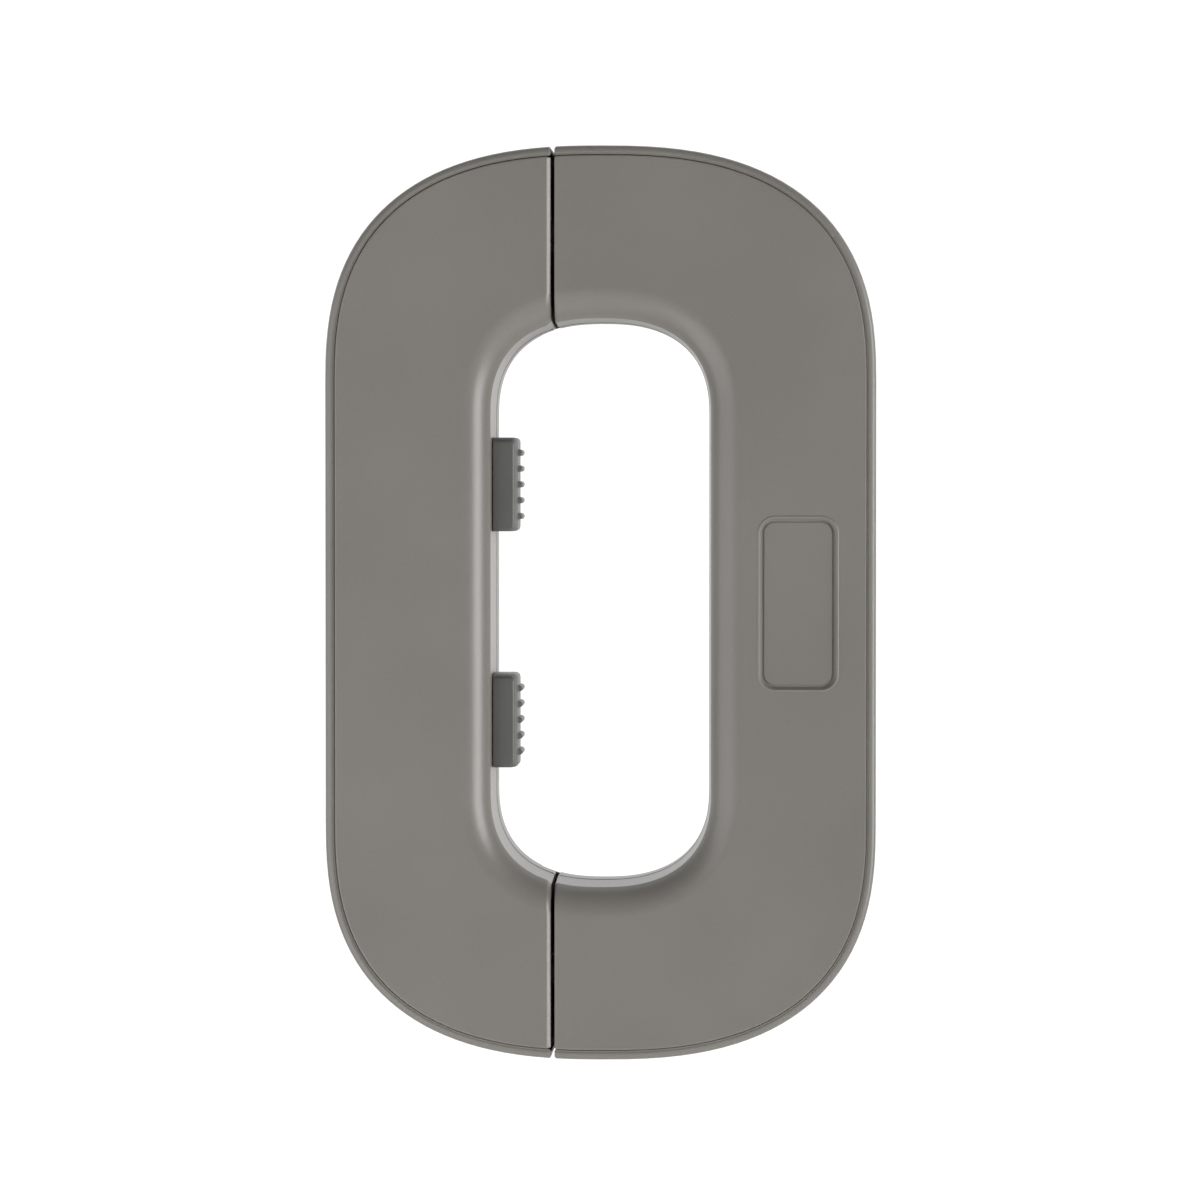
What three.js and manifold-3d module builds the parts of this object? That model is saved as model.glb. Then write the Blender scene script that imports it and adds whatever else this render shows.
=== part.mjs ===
// Refrigerator lock: an upright ring that bridges the gap between two doors. The ring is parted
// on the door line. The wide half (keeper) carries two tongues that reach across the line into
// the narrow half (lock), where two bolts with ribbed thumb caps are slid through their eyes.
// Millimetres, +Z up, front towards -Y, door surface at Y = 0, door line at X = 0.
import * as THREE from 'three';
import { mergeVertices } from 'three/addons/utils/BufferGeometryUtils.js';
import Module from 'manifold-3d';

const wasm = await Module();
wasm.setup();

// Ring and finger opening
const RING_WIDTH = 90.4;
const RING_HEIGHT = 150;
const RING_CORNER = 38.8;
const RING_SQUARENESS = 2.55;
const OPENING_WIDTH = 36.7;
const OPENING_HEIGHT = 94;
const OPENING_CORNER = 16.2;
const OPENING_SQUARENESS = 2.45;
const LOCK_DEPTH = 22;
const PARTING_FROM_CENTRE = 7.8;
const PARTING_GAP = 0.6;
const CORNER_STEPS = 11;

// Mouldings
const WALL = 2.2;
const FLOOR = 2.4;
const RIM_WIDTH = 1.4;
const RIM_DROP = 0.5;
const RIM_ROUND = 0.9;
const GROOVE = 0.4;
const FACE_ROUND = 0.5;
const END_ROUND = 0.7;
const INNER_ROLL = 4.8;
const WALL_DRAFT = 0.25;
const LIP_PROUD = 0.35;
const LIP_THICKNESS = 1.4;
const LIP_HEIGHT = 6.4;
const LIP_ROUND = 0.25;
const LAP_HEIGHT = 3.4;
const SKIRT_HEIGHT = 3.5;
const FLANGE_REACH = 2.4;
const FLANGE_THICKNESS = 1;
const PANEL_WIDTH = 12.2;
const PANEL_HEIGHT = 27.8;
const PANEL_DEPTH = 0.6;
const PANEL_CORNER = 2.2;
const PANEL_FROM_EDGE = 6.4;

// Adhesive pads
const PAD_THICKNESS = 1.1;
const PAD_MARGIN = 3;

// Thumb caps, bolts and detents
const CAP_HEIGHT = 15.5;
const CAP_DEPTH = 10;
const CAP_PROUD = 3.75;
const CAP_FLARE = 0.8;
const CAP_SET_BACK = 5.6;
const CAP_CENTRE = 19.5;
const CAP_ROUND = 0.6;
const RIB_COUNT = 5;
const RIB_PITCH = 2.63;
const RIB_PROUD = 0.75;
const NECK_HEIGHT = 6;
const NECK_DEPTH = 4.4;
const NECK_REACH = 5;
const NECK_DROP = 2.2;
const BOLT_TRAVEL = 5.2;
const BOLT_WIDTH = 8;
const BOLT_THICKNESS = 6;
const BOLT_START = 9.5;
const NOSE_LENGTH = 9;
const NOSE_INSET = 0.5;
const NOSE_CHAMFER = 0.8;
const NOSE_REST_GAP = 0.8;
const NOTCH_DEPTH = 1.1;
const GUIDE_THICKNESS = 1.6;
const SPRING_THICKNESS = 0.5;
const SPRING_WIDTH = 4;
const SPRING_LENGTH = 18;
const SPRING_STAND_OFF = 4;
const SPRING_FROM_START = 22.5;

// Tongues
const TONGUE_THICKNESS = 3.5;
const TONGUE_DEPTH = 12;
const TONGUE_TIP = 2.6;
const TONGUE_CHAMFER = 2;
const EYE_CLEARANCE = 0.7;
const POCKET_CLEARANCE = 0.8;
const FOOT_LENGTH = 16;
const FOOT_WIDTH = 10;
const FOOT_HEIGHT = 6;
const FOOT_SCREW_OFFSET = 3.1;

// Screws and bosses
const SCREW_RADIUS = 1.2;
const SCREW_HEAD_RADIUS = 2.2;
const SCREW_HEAD_HEIGHT = 1.2;
const COVER_SCREW_LENGTH = 10;
const TONGUE_SCREW_LENGTH = 6;
const CAP_SCREW_LENGTH = 6.5;
const HEAD_SINK = 0.15;
const BOSS_WALL = 1.4;
const BOSS_HEIGHT = 2.4;
const LOCK_BOSS_INSET = 6.5;
const LOCK_SCREW_SPREAD = 14;
const KEEPER_SCREW_SPREAD = 24;

// Clearances
const FIT = 0.3;
const SEAT = 0.1;
const THREAD_GAP = 0.12;
const SIDES = 12;

const UPPER_AND_LOWER = [1, -1];

const ringLeft = PARTING_FROM_CENTRE - RING_WIDTH / 2;
const ringRight = PARTING_FROM_CENTRE + RING_WIDTH / 2;
const openingLeft = PARTING_FROM_CENTRE - OPENING_WIDTH / 2;
const openingRight = PARTING_FROM_CENTRE + OPENING_WIDTH / 2;
const openingTop = OPENING_HEIGHT / 2;
const armMiddle = (RING_HEIGHT / 2 + openingTop) / 2;
const halfGap = PARTING_GAP / 2;

const faceY = -LOCK_DEPTH;
const faceInsideY = faceY + WALL;
const rimY = faceY + RIM_DROP;
const backY = -PAD_THICKNESS;
const floorY = backY - FLOOR;
const bossY = floorY - BOSS_HEIGHT;
const headY = backY - HEAD_SINK - SCREW_HEAD_HEIGHT;
const coverEdge = RIM_WIDTH + GROOVE;

const capFrontY = faceY + CAP_SET_BACK;
const boltY = capFrontY + CAP_DEPTH / 2;
const boltFrontY = boltY - BOLT_THICKNESS / 2;
const boltBackY = boltY + BOLT_THICKNESS / 2;
const boltRight = openingLeft - WALL - FIT;
const boltLeft = boltRight - BOLT_WIDTH;
const noseLeft = boltLeft + NOSE_INSET;
const noseRight = boltRight - NOSE_INSET;
const tongueBottom = armMiddle - TONGUE_THICKNESS / 2;
const tongueTop = armMiddle + TONGUE_THICKNESS / 2;
const tongueFrontY = boltY - TONGUE_DEPTH / 2;
const tongueBackY = boltY + TONGUE_DEPTH / 2;
const tongueLeft = noseLeft - EYE_CLEARANCE - TONGUE_TIP;
const noseTip = tongueBottom - NOSE_REST_GAP;
const shoulder = noseTip - NOSE_LENGTH;
const capBackX = openingLeft + WALL_DRAFT + LIP_PROUD + FIT;
const capFaceX = openingLeft + CAP_PROUD;
const neckCentre = CAP_CENTRE - NECK_DROP;
const neckLeft = boltRight - NECK_REACH;
const springCentre = BOLT_START + SPRING_FROM_START;
const springX = boltLeft - SPRING_STAND_OFF;
const footLeft = halfGap + WALL + 1;
const footRight = footLeft + FOOT_LENGTH;
const footFrontY = floorY - SEAT - FOOT_HEIGHT;

const lockScrews = [
  [ringLeft + LOCK_BOSS_INSET, LOCK_SCREW_SPREAD],
  [ringLeft + LOCK_BOSS_INSET, -LOCK_SCREW_SPREAD],
  [ringLeft + LOCK_BOSS_INSET, openingTop],
  [ringLeft + LOCK_BOSS_INSET, -openingTop],
];
const keeperScrews = [
  [(openingRight + ringRight) / 2, KEEPER_SCREW_SPREAD],
  [(openingRight + ringRight) / 2, -KEEPER_SCREW_SPREAD],
  [openingRight + LOCK_BOSS_INSET, armMiddle],
  [openingRight + LOCK_BOSS_INSET, -armMiddle],
];
const footScrews = [
  [footLeft + FOOT_LENGTH / 4, armMiddle + FOOT_SCREW_OFFSET],
  [footRight - FOOT_LENGTH / 4, armMiddle - FOOT_SCREW_OFFSET],
];

// Turns a closed three.js geometry into a solid that can be joined and cut.
function solid(geometry) {
  const bare = geometry.clone();
  bare.deleteAttribute('normal');
  bare.deleteAttribute('uv');
  const merged = mergeVertices(bare, 1e-4);
  const mesh = new wasm.Mesh({
    numProp: 3,
    vertProperties: new Float32Array(merged.attributes.position.array),
    triVerts: new Uint32Array(merged.index.array),
  });
  mesh.merge();
  return new wasm.Manifold(mesh);
}

function geometryOf(body) {
  const mesh = body.getMesh();
  const geometry = new THREE.BufferGeometry();
  geometry.setAttribute('position', new THREE.Float32BufferAttribute(mesh.vertProperties, 3));
  geometry.setIndex(new THREE.Uint32BufferAttribute(mesh.triVerts, 1));
  geometry.computeVertexNormals();
  return geometry;
}

function join(first, ...others) {
  return others.reduce((body, other) => body.add(other), first);
}

function cut(first, ...others) {
  return others.reduce((body, other) => body.subtract(other), first);
}

function block([x0, x1], [y0, y1], [z0, z1]) {
  const geometry = new THREE.BoxGeometry(x1 - x0, y1 - y0, z1 - z0);
  geometry.translate((x0 + x1) / 2, (y0 + y1) / 2, (z0 + z1) / 2);
  return solid(geometry);
}

// Upright span [low, high], or its mirror image below the middle of the ring.
function span(side, low, high) {
  return side > 0 ? [low, high] : [-high, -low];
}

// Round post that stands in depth, between y0 at the front and y1 at the back.
function post(x, z, radius, y0, y1) {
  const geometry = new THREE.CylinderGeometry(radius, radius, y1 - y0, SIDES);
  geometry.translate(x, (y0 + y1) / 2, z);
  return solid(geometry);
}

// Flat shape drawn in X and Z, given thickness in depth from y0 to y1.
function plate(shape, y0, y1) {
  const geometry = new THREE.ExtrudeGeometry(shape, {
    depth: y1 - y0,
    bevelEnabled: false,
    curveSegments: 4,
  });
  geometry.rotateX(Math.PI / 2);
  geometry.translate(0, y1, 0);
  return solid(geometry);
}

// Flat shape drawn in X and Y, given height from z0 to z1.
function column(shape, z0, z1) {
  const geometry = new THREE.ExtrudeGeometry(shape, { depth: z1 - z0, bevelEnabled: false });
  geometry.translate(0, 0, z0);
  return solid(geometry);
}

function polygon(points) {
  return new THREE.Shape(points.map(([x, y]) => new THREE.Vector2(x, y)));
}

// Straight-sided outline with superellipse ends, moved outward by grow along its own normal.
function outline({ width, height, corner, squareness }, grow) {
  const points = [];
  const a = width / 2;
  const straight = height / 2 - corner;
  const power = 2 / squareness;
  const quarters = [[1, 1], [-1, 1], [-1, -1], [1, -1]];
  quarters.forEach(([sx, sz], quarter) => {
    const rising = quarter % 2 === 0;
    const first = rising ? 0 : 1;
    for (let i = first; i <= CORNER_STEPS; i += 1) {
      const step = rising ? i : CORNER_STEPS - i;
      const angle = (step / CORNER_STEPS) * (Math.PI / 2);
      const across = step === CORNER_STEPS ? 0 : Math.cos(angle) ** power;
      const up = step === 0 ? 0 : Math.sin(angle) ** power;
      const normal = new THREE.Vector2(
        across ** (squareness - 1) / a,
        up ** (squareness - 1) / corner,
      ).normalize();
      points.push([
        PARTING_FROM_CENTRE + sx * (a * across + grow * normal.x),
        sz * (straight + corner * up + grow * normal.y),
      ]);
    }
  });
  return points;
}

const ringOutline = {
  width: RING_WIDTH,
  height: RING_HEIGHT,
  corner: RING_CORNER,
  squareness: RING_SQUARENESS,
};
const openingOutline = {
  width: OPENING_WIDTH,
  height: OPENING_HEIGHT,
  corner: OPENING_CORNER,
  squareness: OPENING_SQUARENESS,
};

// Loops of the ring's cross-section: into is measured into the material from either outline.
function outer(into, y) {
  return { points: outline(ringOutline, -into), y };
}

function inner(into, y) {
  return { points: outline(openingOutline, into), y };
}

// Closed ring swept through a list of loops, the last one joined back to the first.
function sweepRing(loops) {
  const count = loops[0].points.length;
  const positions = [];
  const index = [];
  loops.forEach(({ points, y }, row) => {
    const next = (row + 1) % loops.length;
    points.forEach(([x, z], i) => {
      const j = (i + 1) % count;
      positions.push(x, y, z);
      index.push(row * count + i, row * count + j, next * count + j);
      index.push(row * count + i, next * count + j, next * count + i);
    });
  });
  const geometry = new THREE.BufferGeometry();
  geometry.setAttribute('position', new THREE.Float32BufferAttribute(positions, 3));
  geometry.setIndex(index);
  return solid(geometry);
}

// Quarter-round points between two edges: reach along the face and rise in depth.
function quarterRound(radius, steps) {
  const points = [];
  for (let i = 0; i <= steps; i += 1) {
    const angle = (i / steps) * (Math.PI / 2);
    points.push([radius * (1 - Math.cos(angle)), radius * Math.sin(angle)]);
  }
  return points;
}

// Everything on one side of the door line, left (-1) or right (+1).
function halfSpace(side, start) {
  const far = RING_WIDTH;
  const x = side > 0 ? [start, far] : [-far, -start];
  return block(x, [-2 * LOCK_DEPTH, LOCK_DEPTH], [-RING_HEIGHT, RING_HEIGHT]);
}

// The cover's inner wall laps over the tray's: it stops at the joint line and a thinner tab goes on.
const lipY = backY - LIP_HEIGHT;
const lipInto = -WALL_DRAFT - LIP_PROUD;
const tabInto = lipInto + LIP_THICKNESS + FIT;
const jointY = lipY - FIT;
const tabY = jointY + LAP_HEIGHT;
const rollY = faceY + INNER_ROLL;
const coverBackY = floorY - FIT;

// Outside skin shared by the hollow cover and its solid end walls.
const coverSkin = [
  ...quarterRound(FACE_ROUND, 2).map(([into, rise]) => (
    outer(coverEdge + into, faceY + FACE_ROUND - rise))),
  ...quarterRound(INNER_ROLL, 5).reverse().map(([into, rise]) => inner(into, rollY - rise)),
  inner(-WALL_DRAFT, jointY),
  inner(tabInto, jointY),
];
const coverShell = sweepRing([
  outer(coverEdge, faceInsideY + SKIRT_HEIGHT),
  ...coverSkin,
  inner(tabInto, tabY),
  inner(WALL, tabY),
  ...quarterRound(INNER_ROLL - WALL, 2).map(([into, rise]) => inner(WALL + into, rollY - rise)),
  outer(coverEdge + WALL, faceInsideY),
  outer(coverEdge + WALL, faceInsideY + SKIRT_HEIGHT),
]);
const coverFilled = sweepRing([
  outer(coverEdge, coverBackY),
  ...coverSkin,
  inner(tabInto, coverBackY),
]);

// Hollow front cover of one half with an end wall along the door line and rounded face edge.
function cover(side) {
  const ends = coverFilled.intersect(halfSpace(-side, -halfGap - WALL));
  const body = join(coverShell, ends).intersect(halfSpace(side, halfGap));
  const edge = side * halfGap;
  const corner = polygon([
    [edge - side * 2, faceY - 2],
    [edge + side * END_ROUND, faceY - 2],
    [edge + side * END_ROUND, faceY],
    [edge + side * END_ROUND * 0.3, faceY + END_ROUND * 0.3],
    [edge, faceY + END_ROUND],
    [edge - side * 2, faceY + END_ROUND],
  ]);
  return cut(body, column(corner, -RING_HEIGHT, RING_HEIGHT));
}

// Back tray of one half: floor, outer wall up to the visible rim, and low wall at the opening.
function tray(side) {
  const ring = sweepRing([
    outer(0, backY),
    ...quarterRound(RIM_ROUND, 3).map(([into, rise]) => outer(into, rimY + RIM_ROUND - rise)),
    outer(RIM_WIDTH, rimY),
    outer(RIM_WIDTH, floorY),
    inner(lipInto + LIP_THICKNESS, floorY),
    inner(lipInto + LIP_THICKNESS, lipY),
    inner(lipInto + LIP_ROUND, lipY),
    inner(lipInto, lipY + LIP_ROUND),
    inner(lipInto, backY),
  ]);
  const body = ring.intersect(halfSpace(side, halfGap));
  return side > 0 ? body.add(flange()) : body.subtract(rebate());
}

// Thin flange of the keeper's floor that closes the door line from behind, and the rebate
// under the lock half's floor that drops over it.
function flange() {
  const frontY = backY - FLANGE_THICKNESS;
  const ring = sweepRing([
    outer(0, backY),
    outer(0, frontY),
    inner(lipInto, frontY),
    inner(lipInto, backY),
  ]);
  const zone = block([-FLANGE_REACH, halfGap + WALL], [2 * frontY, 0], [-RING_HEIGHT, RING_HEIGHT]);
  return ring.intersect(zone);
}

function rebate() {
  const frontY = backY - FLANGE_THICKNESS - FIT;
  return block([-FLANGE_REACH - FIT, 0], [frontY, 0], [-RING_HEIGHT, RING_HEIGHT]);
}

// Counterbored hole through the tray for a screw driven from behind.
function screwHole(x, z) {
  const drill = post(x, z, SCREW_RADIUS + FIT / 2, bossY - 1, 0);
  return drill.add(post(x, z, SCREW_HEAD_RADIUS + FIT, headY, 0));
}

// Post moulded inside the cover, bored for the screw that comes through the tray's boss.
function coverPost(x, z) {
  const radius = SCREW_RADIUS + BOSS_WALL;
  return post(x, z, radius, faceInsideY - WALL / 2, bossY - SEAT);
}

function coverBore(x, z) {
  return post(x, z, SCREW_RADIUS + THREAD_GAP, headY - COVER_SCREW_LENGTH - 1, bossY);
}

function trayBoss(x, z) {
  return post(x, z, SCREW_RADIUS + BOSS_WALL + FIT, bossY, floorY + FLOOR / 2);
}

// Self-tapping pan-head screw pointing to the front, head at the back, cross recess cut in.
function screw(length) {
  const r = SCREW_RADIUS;
  const profile = [
    [0, -length],
    [r * 0.5, -length + r],
    [r, -length + 2.2 * r],
    [r, 0],
    [SCREW_HEAD_RADIUS, 0],
    [SCREW_HEAD_RADIUS, SCREW_HEAD_HEIGHT * 0.55],
    [SCREW_HEAD_RADIUS * 0.7, SCREW_HEAD_HEIGHT],
    [0, SCREW_HEAD_HEIGHT],
  ];
  const lathe = new THREE.LatheGeometry(profile.map(([x, y]) => new THREE.Vector2(x, y)), SIDES);
  const arm = SCREW_HEAD_RADIUS * 0.55;
  const slot = SCREW_HEAD_RADIUS * 0.14;
  const depth = [SCREW_HEAD_HEIGHT * 0.4, SCREW_HEAD_HEIGHT + 1];
  const body = cut(
    solid(lathe),
    block([-arm, arm], depth, [-slot, slot]),
    block([-slot, slot], depth, [-arm, arm]),
  );
  return geometryOf(body);
}

// Front cover of the keeper, with the bare recessed panel and slots for the two tongues.
function keeperCover() {
  const panelRight = ringRight - PANEL_FROM_EDGE;
  const shape = new THREE.Shape();
  const [x0, x1] = [panelRight - PANEL_WIDTH, panelRight];
  const [z0, z1] = [-PANEL_HEIGHT / 2, PANEL_HEIGHT / 2];
  const r = PANEL_CORNER;
  shape.moveTo(x0 + r, z0);
  shape.lineTo(x1 - r, z0);
  shape.absarc(x1 - r, z0 + r, r, -Math.PI / 2, 0);
  shape.lineTo(x1, z1 - r);
  shape.absarc(x1 - r, z1 - r, r, 0, Math.PI / 2);
  shape.lineTo(x0 + r, z1);
  shape.absarc(x0 + r, z1 - r, r, Math.PI / 2, Math.PI);
  shape.lineTo(x0, z0 + r);
  shape.absarc(x0 + r, z0 + r, r, Math.PI, Math.PI * 1.5);
  const slots = UPPER_AND_LOWER.map((side) => block(
    [0, halfGap + WALL + 0.5],
    [tongueFrontY - FIT, 0],
    span(side, tongueBottom - FIT, tongueTop + FIT),
  ));
  const posts = keeperScrews.map(([x, z]) => coverPost(x, z));
  const bores = keeperScrews.map(([x, z]) => coverBore(x, z));
  const recess = plate(shape, faceY - 1, faceY + PANEL_DEPTH);
  return geometryOf(cut(join(cover(1), ...posts), recess, ...slots, ...bores));
}

function keeperTray() {
  const bosses = keeperScrews.map(([x, z]) => trayBoss(x, z));
  const holes = [...keeperScrews];
  footScrews.forEach(([x, z]) => holes.push([x, z], [x, -z]));
  const body = join(tray(1), ...bosses);
  return geometryOf(cut(body, ...holes.map(([x, z]) => screwHole(x, z))));
}

// Front cover of the lock half: pockets open to the back, and slots for the caps' necks.
function lockCover() {
  const cuts = [];
  const ribs = [];
  UPPER_AND_LOWER.forEach((side) => {
    cuts.push(block(
      [-halfGap - WALL - 0.5, 0],
      [tongueFrontY - POCKET_CLEARANCE, 0],
      span(side, tongueBottom - POCKET_CLEARANCE, tongueTop + POCKET_CLEARANCE),
    ));
    cuts.push(block(
      [openingLeft - WALL - 0.5, openingLeft + 1],
      [boltY - NECK_DEPTH / 2 - FIT, boltY + NECK_DEPTH / 2 + FIT],
      span(side, neckCentre - NECK_HEIGHT / 2 - FIT,
        neckCentre + NECK_HEIGHT / 2 + BOLT_TRAVEL + FIT),
    ));
    const lower = BOLT_START + BOLT_TRAVEL + 1;
    const upper = shoulder - 3;
    [lower, upper].forEach((z) => ribs.push(block(
      [boltLeft, boltRight - 1],
      [faceInsideY - WALL / 2, boltFrontY - FIT],
      span(side, z - GUIDE_THICKNESS, z),
    )));
  });
  const posts = lockScrews.map(([x, z]) => coverPost(x, z));
  const bores = lockScrews.map(([x, z]) => coverBore(x, z));
  return geometryOf(cut(join(cover(-1), ...ribs, ...posts), ...cuts, ...bores));
}

// Back tray of the lock half: bolt channel, middle stop, spring posts and tongue pockets.
function lockTray() {
  const parts = lockScrews.map(([x, z]) => trayBoss(x, z));
  const cuts = lockScrews.map(([x, z]) => screwHole(x, z));
  const root = floorY + FLOOR / 2;
  const stop = BOLT_START - SEAT;
  parts.push(block([boltLeft, boltRight], [boltFrontY, root], [-stop, stop]));
  const guideTop = shoulder - 2;
  parts.push(block(
    [boltLeft + FIT, boltRight - FIT],
    [boltBackY + FIT, root],
    [-guideTop, guideTop],
  ));
  const guide = [boltLeft - FIT - GUIDE_THICKNESS, boltLeft - FIT];
  const window = SPRING_STAND_OFF + NOTCH_DEPTH + FIT;
  const springEnd = SPRING_LENGTH / 2;
  UPPER_AND_LOWER.forEach((side) => {
    parts.push(block(guide, [boltFrontY, root], span(side, BOLT_START, springCentre - window)));
    parts.push(block(guide, [boltFrontY, root], span(side, springCentre + window, guideTop)));
    UPPER_AND_LOWER.forEach((end) => {
      const tip = springCentre + end * springEnd;
      const spread = GUIDE_THICKNESS + FIT;
      const base = span(side, tip - spread, tip + spread);
      const half = SPRING_THICKNESS / 2 + FIT;
      const block0 = [springX - half - GUIDE_THICKNESS, springX + half + GUIDE_THICKNESS];
      const slotZ = end > 0
        ? span(side, tip - spread - 1, tip + FIT)
        : span(side, tip - FIT, tip + spread + 1);
      parts.push(block(block0, [boltY - SPRING_WIDTH / 2 - 1, root], base));
      cuts.push(block(
        [springX - half, springX + half],
        [boltY - SPRING_WIDTH / 2 - 2, boltY + SPRING_WIDTH / 2 + FIT],
        slotZ,
      ));
    });
    cuts.push(block(
      [tongueLeft - POCKET_CLEARANCE, 0],
      [floorY - 1, 0],
      span(side, tongueBottom - POCKET_CLEARANCE, tongueTop + POCKET_CLEARANCE),
    ));
  });
  return geometryOf(cut(join(tray(-1), ...parts), ...cuts));
}

// Foam tape pads, stuck to the trays; the lock half's pad stops short of its tongue pockets.
function pad(side, zEnd) {
  const frontY = backY + SEAT / 2;
  const ring = sweepRing([
    outer(PAD_MARGIN, 0),
    outer(PAD_MARGIN, frontY),
    inner(PAD_MARGIN, frontY),
    inner(PAD_MARGIN, 0),
  ]);
  const trimmed = ring.intersect(halfSpace(side, halfGap + PAD_MARGIN));
  return geometryOf(trimmed.intersect(
    block([-RING_WIDTH, RING_WIDTH], [-LOCK_DEPTH, LOCK_DEPTH], [-zEnd, zEnd]),
  ));
}

// Sliding bolt: guided bar, chamfered nose, socket for the cap's neck and two detent notches.
function bolt() {
  const bar = block([boltLeft, boltRight], [boltFrontY, boltBackY], [BOLT_START, shoulder]);
  const noseY = [boltFrontY + NOSE_INSET, boltBackY - NOSE_INSET];
  const nose = column(polygon([
    [noseLeft, noseY[0]],
    [noseRight, noseY[0]],
    [noseRight, noseY[1]],
    [noseLeft, noseY[1]],
  ]), shoulder - 1, noseTip);
  const chamfers = [noseLeft, noseRight].map((x) => {
    const wedge = new THREE.BoxGeometry(NOSE_CHAMFER * 1.414, BOLT_THICKNESS, NOSE_CHAMFER * 1.414);
    wedge.rotateY(Math.PI / 4);
    wedge.translate(x, boltY, noseTip);
    return solid(wedge);
  });
  const notches = [springCentre, springCentre - BOLT_TRAVEL].map((z) => plate(polygon([
    [boltLeft - 1, z + NOTCH_DEPTH + 1],
    [boltLeft + NOTCH_DEPTH, z],
    [boltLeft - 1, z - NOTCH_DEPTH - 1],
  ]), boltFrontY - 1, boltBackY + 1));
  const socket = block(
    [neckLeft - FIT, boltRight + 1],
    [boltY - NECK_DEPTH / 2 - SEAT, boltY + NECK_DEPTH / 2 + SEAT],
    [neckCentre - NECK_HEIGHT / 2 - SEAT, neckCentre + NECK_HEIGHT / 2 + SEAT],
  );
  const bore = new THREE.CylinderGeometry(
    SCREW_RADIUS + FIT / 2, SCREW_RADIUS + FIT / 2, BOLT_WIDTH * 2, SIDES);
  bore.rotateZ(Math.PI / 2);
  bore.translate(boltLeft, boltY, neckCentre);
  const sink = SCREW_HEAD_HEIGHT + HEAD_SINK;
  const headBore = new THREE.CylinderGeometry(
    SCREW_HEAD_RADIUS + FIT / 2, SCREW_HEAD_RADIUS + FIT / 2, 2 * sink, SIDES);
  headBore.rotateZ(Math.PI / 2);
  headBore.translate(boltLeft, boltY, neckCentre);
  return geometryOf(cut(
    join(bar, nose), ...chamfers, ...notches, socket, solid(bore), solid(headBore)));
}

// Thumb cap: ribbed grip that flares towards the back, on a neck through the cover's slot.
function thumbCap() {
  const top = CAP_CENTRE + CAP_HEIGHT / 2;
  const bottom = CAP_CENTRE - CAP_HEIGHT / 2;
  const half = RIB_PITCH * 0.3;
  const root = capBackX - CAP_FLARE - 1;
  const points = [
    [root, bottom],
    [capFaceX - CAP_ROUND, bottom],
    [capFaceX - CAP_ROUND * 0.3, bottom + CAP_ROUND * 0.3],
    [capFaceX, bottom + CAP_ROUND],
  ];
  for (let i = 0; i < RIB_COUNT; i += 1) {
    const z = CAP_CENTRE + (i - (RIB_COUNT - 1) / 2) * RIB_PITCH;
    points.push([capFaceX, z - half]);
    points.push([capFaceX + RIB_PROUD, z - half * 0.4]);
    points.push([capFaceX + RIB_PROUD, z + half * 0.4]);
    points.push([capFaceX, z + half]);
  }
  points.push([capFaceX, top - CAP_ROUND]);
  points.push([capFaceX - CAP_ROUND * 0.3, top - CAP_ROUND * 0.3]);
  points.push([capFaceX - CAP_ROUND, top]);
  points.push([root, top]);
  const grip = new THREE.ExtrudeGeometry(polygon(points), { depth: CAP_DEPTH, bevelEnabled: false });
  grip.rotateX(Math.PI / 2);
  grip.translate(0, CAP_DEPTH, 0);
  const flare = new THREE.Matrix4().makeShear(0, 0, CAP_FLARE / CAP_DEPTH, 0, 0, 0);
  grip.applyMatrix4(flare);
  grip.translate(0, capFrontY, 0);
  const outside = block(
    [capBackX, openingRight], [capFrontY, capFrontY + CAP_DEPTH], [bottom - 1, top + 1]);
  const neck = block(
    [neckLeft, capBackX + 1],
    [boltY - NECK_DEPTH / 2, boltY + NECK_DEPTH / 2],
    [neckCentre - NECK_HEIGHT / 2, neckCentre + NECK_HEIGHT / 2],
  );
  const pilot = new THREE.CylinderGeometry(
    SCREW_RADIUS + THREAD_GAP, SCREW_RADIUS + THREAD_GAP, 2 * NECK_REACH, SIDES);
  pilot.rotateZ(Math.PI / 2);
  pilot.translate(neckLeft, boltY, neckCentre);
  return geometryOf(cut(join(solid(grip).intersect(outside), neck), solid(pilot)));
}

// Leaf spring: straight ends in the tray's posts, bent nose resting in the bolt's notch.
function detentSpring() {
  const end = SPRING_LENGTH / 2;
  const tip = boltLeft + NOTCH_DEPTH - FIT - SPRING_THICKNESS;
  const t = SPRING_THICKNESS / 2;
  const run = (tip - springX) * 0.9;
  const shape = polygon([
    [springX - t, -end],
    [springX + t, -end],
    [springX + t, -run],
    [tip + t, 0],
    [springX + t, run],
    [springX + t, end],
    [springX - t, end],
    [springX - t, run + t],
    [tip - 2 * t, 0],
    [springX - t, -run - t],
  ]);
  const strip = plate(shape, boltY - SPRING_WIDTH / 2, boltY + SPRING_WIDTH / 2);
  const geometry = geometryOf(strip);
  geometry.translate(0, 0, springCentre);
  return geometry;
}

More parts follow.
